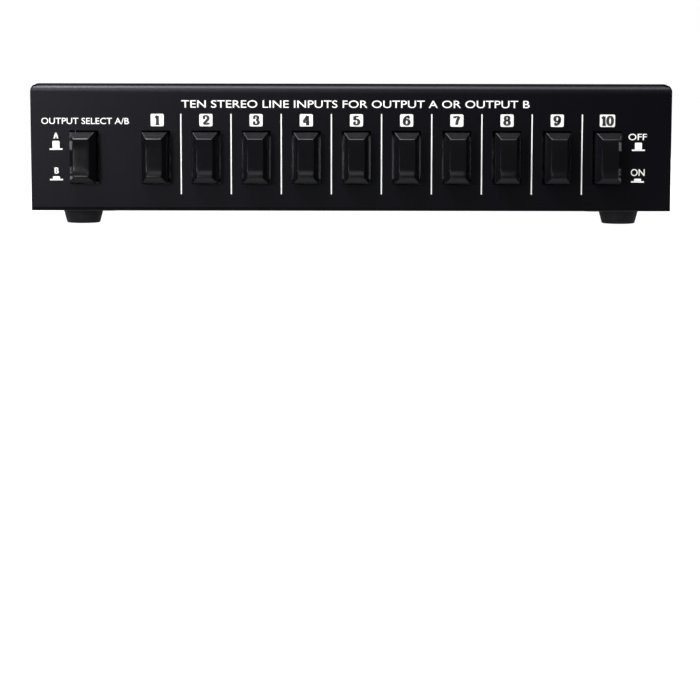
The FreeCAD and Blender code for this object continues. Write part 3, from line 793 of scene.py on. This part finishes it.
# Bookish letters in units of their height: the width, the strokes, then the balls' places
GLYPHS = {
    "0": (0.56, [ring(0.28, 0.5, 0.28, 0.5)], []),
    "1": (0.34, [run((0.2, 0), (0.2, 1)), run((0.2, 0.98), (0.06, 0.84), (-0.08, 0.78)),
                 bar(0.2, 0, 0.46)], []),
    "2": (0.54, [run(arc((0.27, 0.72), (0.26, 0.28), 165, -30, 12), (0, 0.06)), bar(0.28, 0.05, 0.56),
                 run((0.55, 0.2), (0.52, 0.02))], [(0.06, 0.74)]),
    "3": (0.54, [arc((0.25, 0.76), (0.23, 0.24), 160, -90, 12),
                 arc((0.25, 0.26), (0.29, 0.26), 90, -160, 12)], [(0.06, 0.76), (0.04, 0.24)]),
    "4": (0.66, [run((0.48, 0), (0.48, 1)), run((0.48, 1), (0, 0.3)), bar(0.33, 0.28, 0.7),
                 bar(0.48, 0, 0.38)], []),
    "5": (0.54, [bar(0.28, 0.95, 0.46), run((0.07, 0.97), (0.07, 0.52)),
                 arc((0.25, 0.31), (0.29, 0.31), 130, -160, 14)], [(0.05, 0.24)]),
    "6": (0.56, [arc((0.5, 0.36), (0.5, 0.64), 80, 180, 9), ring(0.28, 0.3, 0.28, 0.3)], [(0.5, 0.86)]),
    "7": (0.54, [bar(0.28, 0.94, 0.52), run((0.54, 0.95), (0.3, 0.4), (0.24, 0)),
                 run((0.02, 0.98), (0.02, 0.76))], []),
    "8": (0.54, [ring(0.27, 0.76, 0.22, 0.24), ring(0.27, 0.26, 0.27, 0.26)], []),
    "9": (0.56, [arc((0.06, 0.64), (0.5, 0.64), -100, 0, 9), ring(0.28, 0.7, 0.28, 0.3)], [(0.06, 0.14)]),
    "A": (0.8, [run((0.1, 0), (0.4, 1)), run((0.4, 1), (0.7, 0)), bar(0.4, 0.32, 0.44), bar(0.1, 0, 0.3),
                bar(0.7, 0, 0.3)], []),
    "B": (0.64, [run((0.12, 0), (0.12, 1)),
                 run((0, 1), (0.34, 1), arc((0.34, 0.76), (0.22, 0.24), 90, -90, 9), (0.12, 0.52)),
                 run((0.34, 0.52), arc((0.36, 0.26), (0.26, 0.26), 90, -90, 9), (0, 0))], []),
    "I": (0.3, [run((0.15, 0), (0.15, 1)), bar(0.15, 0, 0.42), bar(0.15, 1, 0.42)], []),
    "N": (0.74, [run((0.12, 0), (0.12, 1)), run((0.12, 1), (0.62, 0)), run((0.62, 0), (0.62, 1)),
                 bar(0.12, 0, 0.34), bar(0.06, 1, 0.28), bar(0.62, 1, 0.34)], []),
    "O": (0.72, [ring(0.36, 0.5, 0.36, 0.5)], []),
    "T": (0.66, [run((0.33, 0), (0.33, 1)), bar(0.33, 1, 0.72), bar(0.33, 0, 0.36)], []),
    "U": (0.72, [run((0.12, 1), arc((0.36, 0.28), (0.24, 0.28), 180, 360, 10), (0.6, 1)),
                 bar(0.12, 1, 0.32), bar(0.6, 1, 0.32)], []),
    "-": (0.5, [bar(0.25, 0.46, 0.66)], []),
}


BALL = 0.45                     # radius of a stroke's ball end, as a share of the thick stroke


def serif_letters(text, x, z, height, thick, thin, gap, layer=0, stretch=1.0):
    """Shapes of a line of bookish letters centred on (x, z), with their two stroke widths."""
    scale = np.array([stretch, 1.0]) * (height - thin)
    width = sum(GLYPHS[letter][0] * scale[0] for letter in text) + gap * (len(text) - 1)
    pen = np.array([x - width / 2, z - scale[1] / 2])
    shapes = []
    for letter in text:
        advance, paths, balls = GLYPHS[letter]
        for path in paths:
            shapes.append((ribbon(np.array(path) * scale + pen, thick, thin, layer), False, True))
        for ball in balls:
            shapes += flat(arc(np.array(ball) * scale + pen, BALL * thick, 0, 330, 12), layer)
        pen[0] += advance * scale[0] + gap
    return shapes


CAPITAL_HEIGHT = 0.682          # of the built-in face, in units of its size


def sans_letters(name, lines, panel, material, bold, layer=0):
    """A piece with lines of upright sans capitals: (text, x, z, height, width) each.

    Each line is the built-in face, made bolder by a share of its size, and then scaled to its
    height and its width.
    """
    bm = bmesh.new()
    for text, x, z, height, width in lines:
        curve = bpy.data.curves.new(name, "FONT")
        curve.body = text
        curve.offset = bold
        curve.extrude = 0.5
        curve.resolution_u = 4
        mesh = bpy.data.meshes.new_from_object(bpy.data.objects.new(name, curve))
        points = np.zeros(len(mesh.vertices) * 3, np.float32)
        mesh.vertices.foreach_get("co", points)
        u, w, lift = points.reshape(-1, 3).T
        across = x + (u - (u.min() + u.max()) / 2) * width / (u.max() - u.min())
        up = z + (w - CAPITAL_HEIGHT / 2) * height / CAPITAL_HEIGHT
        placed = panel(np.stack([across, up, (lift + 0.5 + layer) * PRINT], axis=-1)) * MM
        mesh.vertices.foreach_set("co", placed.astype(np.float32).ravel())
        bm.from_mesh(mesh)
    mesh = bpy.data.meshes.new(name)
    bm.to_mesh(mesh)
    bm.free()
    tidy_mesh(mesh)
    place(name, mesh, material, "case", ())


def stamped(shapes, panel):
    """Shapes moved onto a panel."""
    return [(panel(points), rows, columns) for points, rows, columns in shapes]


def flat(outline, layer=0):
    """Shapes of one plate with the given outline."""
    return [(plate(outline, layer), False, True)]


def rule(x, z, width, height):
    """Shapes of a straight printed line, upright or lying, with nearly round ends."""
    flat_end = 0.02
    return flat(rounded(x, z, width, height, (min(width, height) - flat_end) / 2))


def push_symbol(x, z, travel):
    """Symbol of a button on a base line, centred on z, with its block as high as its travel."""
    base_width = 3.9
    base_height = 0.42
    base_corner = 0.15
    block_width = 2.1
    block_corner = 0.22
    low = z + 0.05
    high = z + travel + 0.35
    base = flat(rounded(x, z, base_width, base_height, base_corner))
    return base + flat(rounded(x, (low + high) / 2, block_width, high - low, block_corner))


def input_badges():
    """White badges over the input buttons, and the black numbers on them."""
    z = AXIS_Z + 11.1
    narrow = 3.9
    wide = 4.55                 # for a number of two figures
    height = 3.68
    corner = 0.42
    first_shift = 0.45          # badge 1 stands a little to the right of its button
    white = []
    black = []
    for number, name in enumerate(INPUTS, start=1):
        x = BUTTON_X[name] + (first_shift if number == 1 else 0)
        white += flat(rounded(x, z, wide if number > 9 else narrow, height, corner))
        black += serif_letters(str(number), x, z, height=3.05, thick=0.92, thin=0.46, gap=0.7,
                               layer=1)
    return white, black


def input_rules():
    """Upright lines between the input buttons."""
    middle = AXIS_Z + 1.0
    shapes = []
    for name in INPUTS[:-1]:
        shapes += rule(BUTTON_X[name] + PITCH / 2, middle, width=0.34, height=24.0)
    return shapes


def output_legend():
    """A over the symbol of a button that is out, and B over one that is in."""
    x = BUTTON_X["output"] - 8.4
    shapes = []
    for letter, letter_z, symbol_z, travel in (("A", 6.5, 2.4, 2.1), ("B", -4.0, -6.7, 0.6)):
        shapes += serif_letters(letter, x, AXIS_Z + letter_z, height=1.85, thick=0.46, thin=0.26,
                                gap=0)
        shapes += push_symbol(x, AXIS_Z + symbol_z, travel)
    return shapes


OFF_X = BUTTON_X[INPUTS[-1]] + 9.4
ON_X = OFF_X - 0.1
TITLE_X = (BUTTON_X[INPUTS[0]] + BUTTON_X[INPUTS[-1]]) / 2 - 7.8
# Words, x, z, height of the capitals, width
FRONT_LETTERING = [
    ("TEN STEREO LINE INPUTS FOR OUTPUT A OR OUTPUT B", TITLE_X, AXIS_Z + 15.9, 2.15, 104),
    ("OUTPUT SELECT A/B", BUTTON_X["output"] + 0.4, AXIS_Z + 10.8, 1.8, 26.2),
    ("OFF", OFF_X - 0.3, AXIS_Z + 6.3, 1.85, 5.45),
    ("ON", ON_X, AXIS_Z - 4.3, 2.0, 4.1),
]


def front_print():
    """All the printing on the front panel, in white, and the numbers in black."""
    badges, numbers = input_badges()
    off_symbol = push_symbol(OFF_X, AXIS_Z + 2.35, travel=1.9)
    on_symbol = push_symbol(ON_X, AXIS_Z - 7.1, travel=0.6)
    white = badges + input_rules() + output_legend() + off_symbol + on_symbol
    surface("front_print_white", stamped(white, on_front), WHITE_INK)
    surface("front_print_black", stamped(numbers, on_front), BLACK_INK)
    sans_letters("front_lettering", FRONT_LETTERING, on_front, WHITE_INK, bold=0.002)


def rear_rules():
    """Upright lines between the jack blocks, and through them with a gap round each screw."""
    low = COVER_BOTTOM + 3.2
    high = COVER_BOTTOM + 35.5
    screw_gap = 2.7
    width = 0.36
    parts = [(low, JACK_SCREW_Z - screw_gap), (JACK_SCREW_Z + screw_gap, high)]
    lines = [(x, *part) for x in BLOCK_XS for part in parts] + [(x, low, high) for x in BETWEEN_XS]
    shapes = []
    for x, bottom, top in lines:
        shapes += rule(x, (bottom + top) / 2, width, top - bottom)
    return shapes


def channel_badges():
    """White badges with black letters for the left and the right row, between the blocks."""
    first_shift = -0.2          # the end badges stand a little off the blocks' pitch
    last_shift = -0.4
    first = BLOCK_XS[0] - BLOCK_PITCH / 2 + first_shift
    last = BLOCK_XS[-1] + BLOCK_PITCH / 2 + last_shift
    side = 2.6
    corner = 0.4
    letter_height = 1.85
    shapes = []
    letters = []
    for x in [*BETWEEN_XS, first, last]:
        for letter, z, letter_width in (("L", LEFT_Z, 1.25), ("R", RIGHT_Z, 1.6)):
            shapes += flat(rounded(x, z, side, side, corner), layer=1)
            letters.append((letter, x, z, letter_height, letter_width))
    sans_letters("rear_channel_letters", letters, on_rear, BLACK_INK, bold=0.045, layer=2)
    return shapes


def flow_symbol(x, z, way):
    """White disc between two dashes, and a black arrow on it: way is 1 for up, -1 for down."""
    disc_radius = 1.3
    dash_x = 3.35
    arrow_width = 0.56
    tail = -1.5
    neck = 0.5
    tip = 0.75
    barb = -0.1
    barb_x = 0.65
    white = flat(arc((x, z), disc_radius, 0, 345, 24))
    for side in (-1, 1):
        white += rule(x + side * dash_x, z, width=1.6, height=0.34)
    shaft = [(x, z + tail * way), (x, z + neck * way)]
    head = [(x - barb_x, z + barb * way), (x, z + tip * way), (x + barb_x, z + barb * way)]
    black = [
        (ribbon(path, thick=arrow_width, thin=arrow_width, layer=1), False, True)
        for path in (shaft, head)
    ]
    return white, black


def jack_labels():
    """Names under the pairs of jacks, each over the symbol of which way its signal goes."""
    label_z = COVER_BOTTOM + 7.65
    symbol_z = COVER_BOTTOM + 4.45
    white = []
    black = []
    # A mount's name, such as in_1_left_jack, starts with the name of its pair
    pairs = {mount["name"].rsplit("_", 2)[0]: -mount["pos_m"][0] / MM for mount in JACKS}
    for name, x in pairs.items():
        label = name.replace("_", "-").upper()
        white += serif_letters(label, x, label_z, height=1.6, thick=0.33, thin=0.18, gap=0.56,
                               stretch=1.42)
        way = -1 if name.startswith("out") else 1
        symbol, arrow = flow_symbol(x, symbol_z, way)
        white += symbol
        black += arrow
    return white, black


def rear_print():
    """All the printing on the rear wall: lines, channel badges, names and flow symbols."""
    white = rear_rules() + channel_badges()
    labels, arrows = jack_labels()
    surface("rear_print_white", stamped(white + labels, on_rear), WHITE_INK)
    surface("rear_print_black", stamped(arrows, on_rear), BLACK_INK)


# ---------------------------------------------------------------- studio

def seen_or(tree, seen, cast):
    """Strength of a white surround: one value where it is seen, another as it lights things."""
    path = add(tree, "ShaderNodeLightPath")
    inputs = {"Value": path.outputs["Is Camera Ray"], "To Min": cast, "To Max": seen}
    return add(tree, "ShaderNodeMapRange", inputs).outputs["Result"]


def white_table():
    """Table that is seen white, and that throws its light only from a pool round the object.

    The light falls off with the length of (5 x, 7.5 y) in metres, so the pool ends 0.2 m to
    each side and 0.13 m in front and behind.
    """
    half = 6.0
    corners = [(-half, -half, 0), (half, -half, 0), (half, half, 0), (-half, half, 0)]
    mesh = bpy.data.meshes.new("floor")
    mesh.from_pydata(corners, [], [(0, 1, 2, 3)])
    floor = bpy.data.objects.new("floor", mesh)
    bpy.context.scene.collection.objects.link(floor)
    table, tree, here = blank("lit_white_table", "")
    around = add(tree, "ShaderNodeMapping", {"Vector": here, "Scale": (5, 7.5, 1)})
    reach = add(tree, "ShaderNodeVectorMath", {0: around.outputs["Vector"]}, operation="LENGTH")
    pool = add(tree, "ShaderNodeMapRange", {
        "Value": reach.outputs["Value"], "From Min": 0.4, "From Max": 1.0, "To Min": 0.5, "To Max": 0.0})
    shade(tree, {
        "Base Color": linear("484848"),
        "Roughness": 0.8,
        "Emission Color": linear("ffffff"),
        "Emission Strength": seen_or(tree, 1.0, pool.outputs["Result"]),
    })
    mesh.materials.append(table)


def white_surround():
    """World that is seen white and lights the object only a little."""
    world = bpy.data.worlds.new("studio")
    bpy.context.scene.world = world
    world.use_nodes = True
    tree = world.node_tree
    tree.nodes.clear()
    white = {"Color": linear("ffffff"), "Strength": seen_or(tree, 1.0, 0.14)}
    surround = add(tree, "ShaderNodeBackground", white)
    add(tree, "ShaderNodeOutputWorld", {"Surface": surround.outputs[0]})


def softbox(name, place, target, size, watts):
    """Square area light that points at its target and isn't seen itself, placed in metres."""
    data = bpy.data.lights.new(name, "AREA")
    data.size = size
    data.energy = watts
    light = bpy.data.objects.new(name, data)
    light.location = place
    light.rotation_euler = (Vector(target) - light.location).to_track_quat("-Z", "Y").to_euler()
    light.visible_camera = False
    bpy.context.scene.collection.objects.link(light)


def softboxes():
    """A row overhead that is brightest on the left, and smaller lights on every side.

    front_glow lies in the front panel's mirror direction, low on the left, and makes the panel
    lighter there.  rear_glow does the same for the rear wall.
    """
    softbox("top_left", (-0.30, 0.01, 0.62), (-0.09, -0.03, 0.02), 0.34, 12.0)
    softbox("top", (-0.10, -0.03, 0.62), (-0.03, -0.03, 0.02), 0.34, 5.3)
    softbox("top_right", (0.12, -0.03, 0.62), (0.03, -0.03, 0.02), 0.34, 2.4)
    softbox("top_far_right", (0.30, -0.04, 0.62), (0.09, -0.03, 0.02), 0.34, 2.0)
    softbox("front_high", (-0.21, -0.44, 0.48), (-0.03, -0.05, 0.02), 0.22, 3.8)
    softbox("front_low", (-0.03, -0.63, 0.23), (0, -0.05, 0.02), 0.22, 0.7)
    softbox("front_glow", (-0.245, -0.63, 0.075), (-0.06, -0.05, 0.03), 0.12, 1.25)
    softbox("rear_glow", (0.245, 0.63, 0.075), (0.06, 0.05, 0.03), 0.12, 1.25)
    softbox("rear_left", (0.42, 0.52, 0.12), (0, 0.05, 0.02), 0.2, 1.5)
    softbox("rear_right", (-0.42, 0.52, 0.12), (0, 0.05, 0.02), 0.2, 1.5)
    softbox("side_left", (-0.75, 0.05, 0.16), (-0.09, 0, 0.02), 0.3, 1.5)
    softbox("side_right", (0.75, 0.05, 0.16), (0.09, 0, 0.02), 0.3, 1.0)


def camera():
    """Long lens in front of the panel, a little above it and tipped down."""
    distance = 648              # from the front panel
    height = 40
    aside = -0.35
    tip_degrees = 6.83
    roll_degrees = -0.1
    data = bpy.data.cameras.new("camera")
    data.sensor_width = 36.0
    data.lens = 110.9
    data.clip_end = 20
    view = bpy.data.objects.new("camera", data)
    view.location = (aside * MM, (FRONT - distance) * MM, height * MM)
    view.rotation_euler = (math.radians(90 - tip_degrees), math.radians(roll_degrees), 0)
    bpy.context.scene.collection.objects.link(view)
    bpy.context.scene.camera = view
    bpy.context.scene.view_settings.view_transform = "Standard"


# ---------------------------------------------------------------- the object and its studio

sheet_metal("folded_chassis", "chassis")
sheet_metal("folded_cover", "top_cover")
inner_pieces()
rubber_feet()
for button in BUTTONS:
    button_cap(button)
jack_barrels()
insulators("white_insulators", "jack_insulators_left", LEFT_Z, WHITE_PLASTIC)
insulators("red_insulators", "jack_insulators_right", RIGHT_Z, RED_PLASTIC)
jack_collars()
jack_screws()
cover_screws()
front_print()
rear_print()
white_table()
white_surround()
softboxes()
camera()
